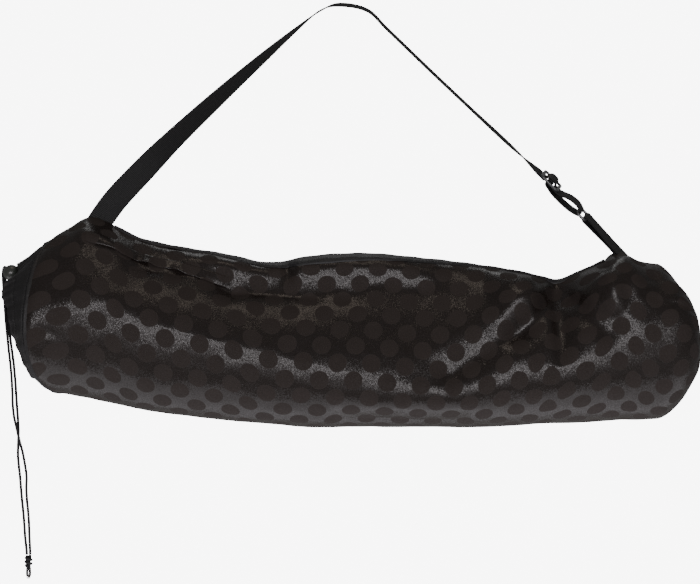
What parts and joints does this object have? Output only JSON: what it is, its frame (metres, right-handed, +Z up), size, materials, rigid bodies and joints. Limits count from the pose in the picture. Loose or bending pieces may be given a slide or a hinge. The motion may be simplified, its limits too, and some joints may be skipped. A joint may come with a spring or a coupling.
{
  "type": "yoga mat bag",
  "caption": "Long hollow tube bag of dotted cloth for a rolled mat, with a drawstring mouth, a round end panel and an adjustable webbing shoulder strap, shown hanging.",
  "frame": {"origin": "the highest point of the shoulder strap, where a hook or a shoulder holds it", "axes": "+X along the bag from the mouth to the closed end, +Y to the back, +Z up"},
  "size_m": [0.6931, 0.1575, 0.576],
  "materials": {
    "dotted_cloth": "satin polyester with glitter ground and matte dots",
    "hem_cloth": "satin polyester, hemmed",
    "seam_tape": "smooth folded tape",
    "webbing": "ribbed polypropylene webbing",
    "slider_plastic": "polished moulding",
    "ring_metal": "dark glossy coating",
    "lock_plastic": "smooth moulding",
    "cord_braid": "fine braid"
  },
  "bodies": {
    "root": {"bag_body": "dotted_cloth", "end_panel": "dotted_cloth", "pocket_lip": "dotted_cloth", "mouth_casing": "hem_cloth", "seam_binding": "seam_tape", "shoulder_strap": "webbing", "anchor_loop": "webbing", "strap_slider": "slider_plastic", "strap_ring": "ring_metal", "cord_lock": "lock_plastic", "drawstring_front": "cord_braid", "drawstring_back": "cord_braid", "drawstring_knot": "cord_braid"}
  },
  "joints": []
}
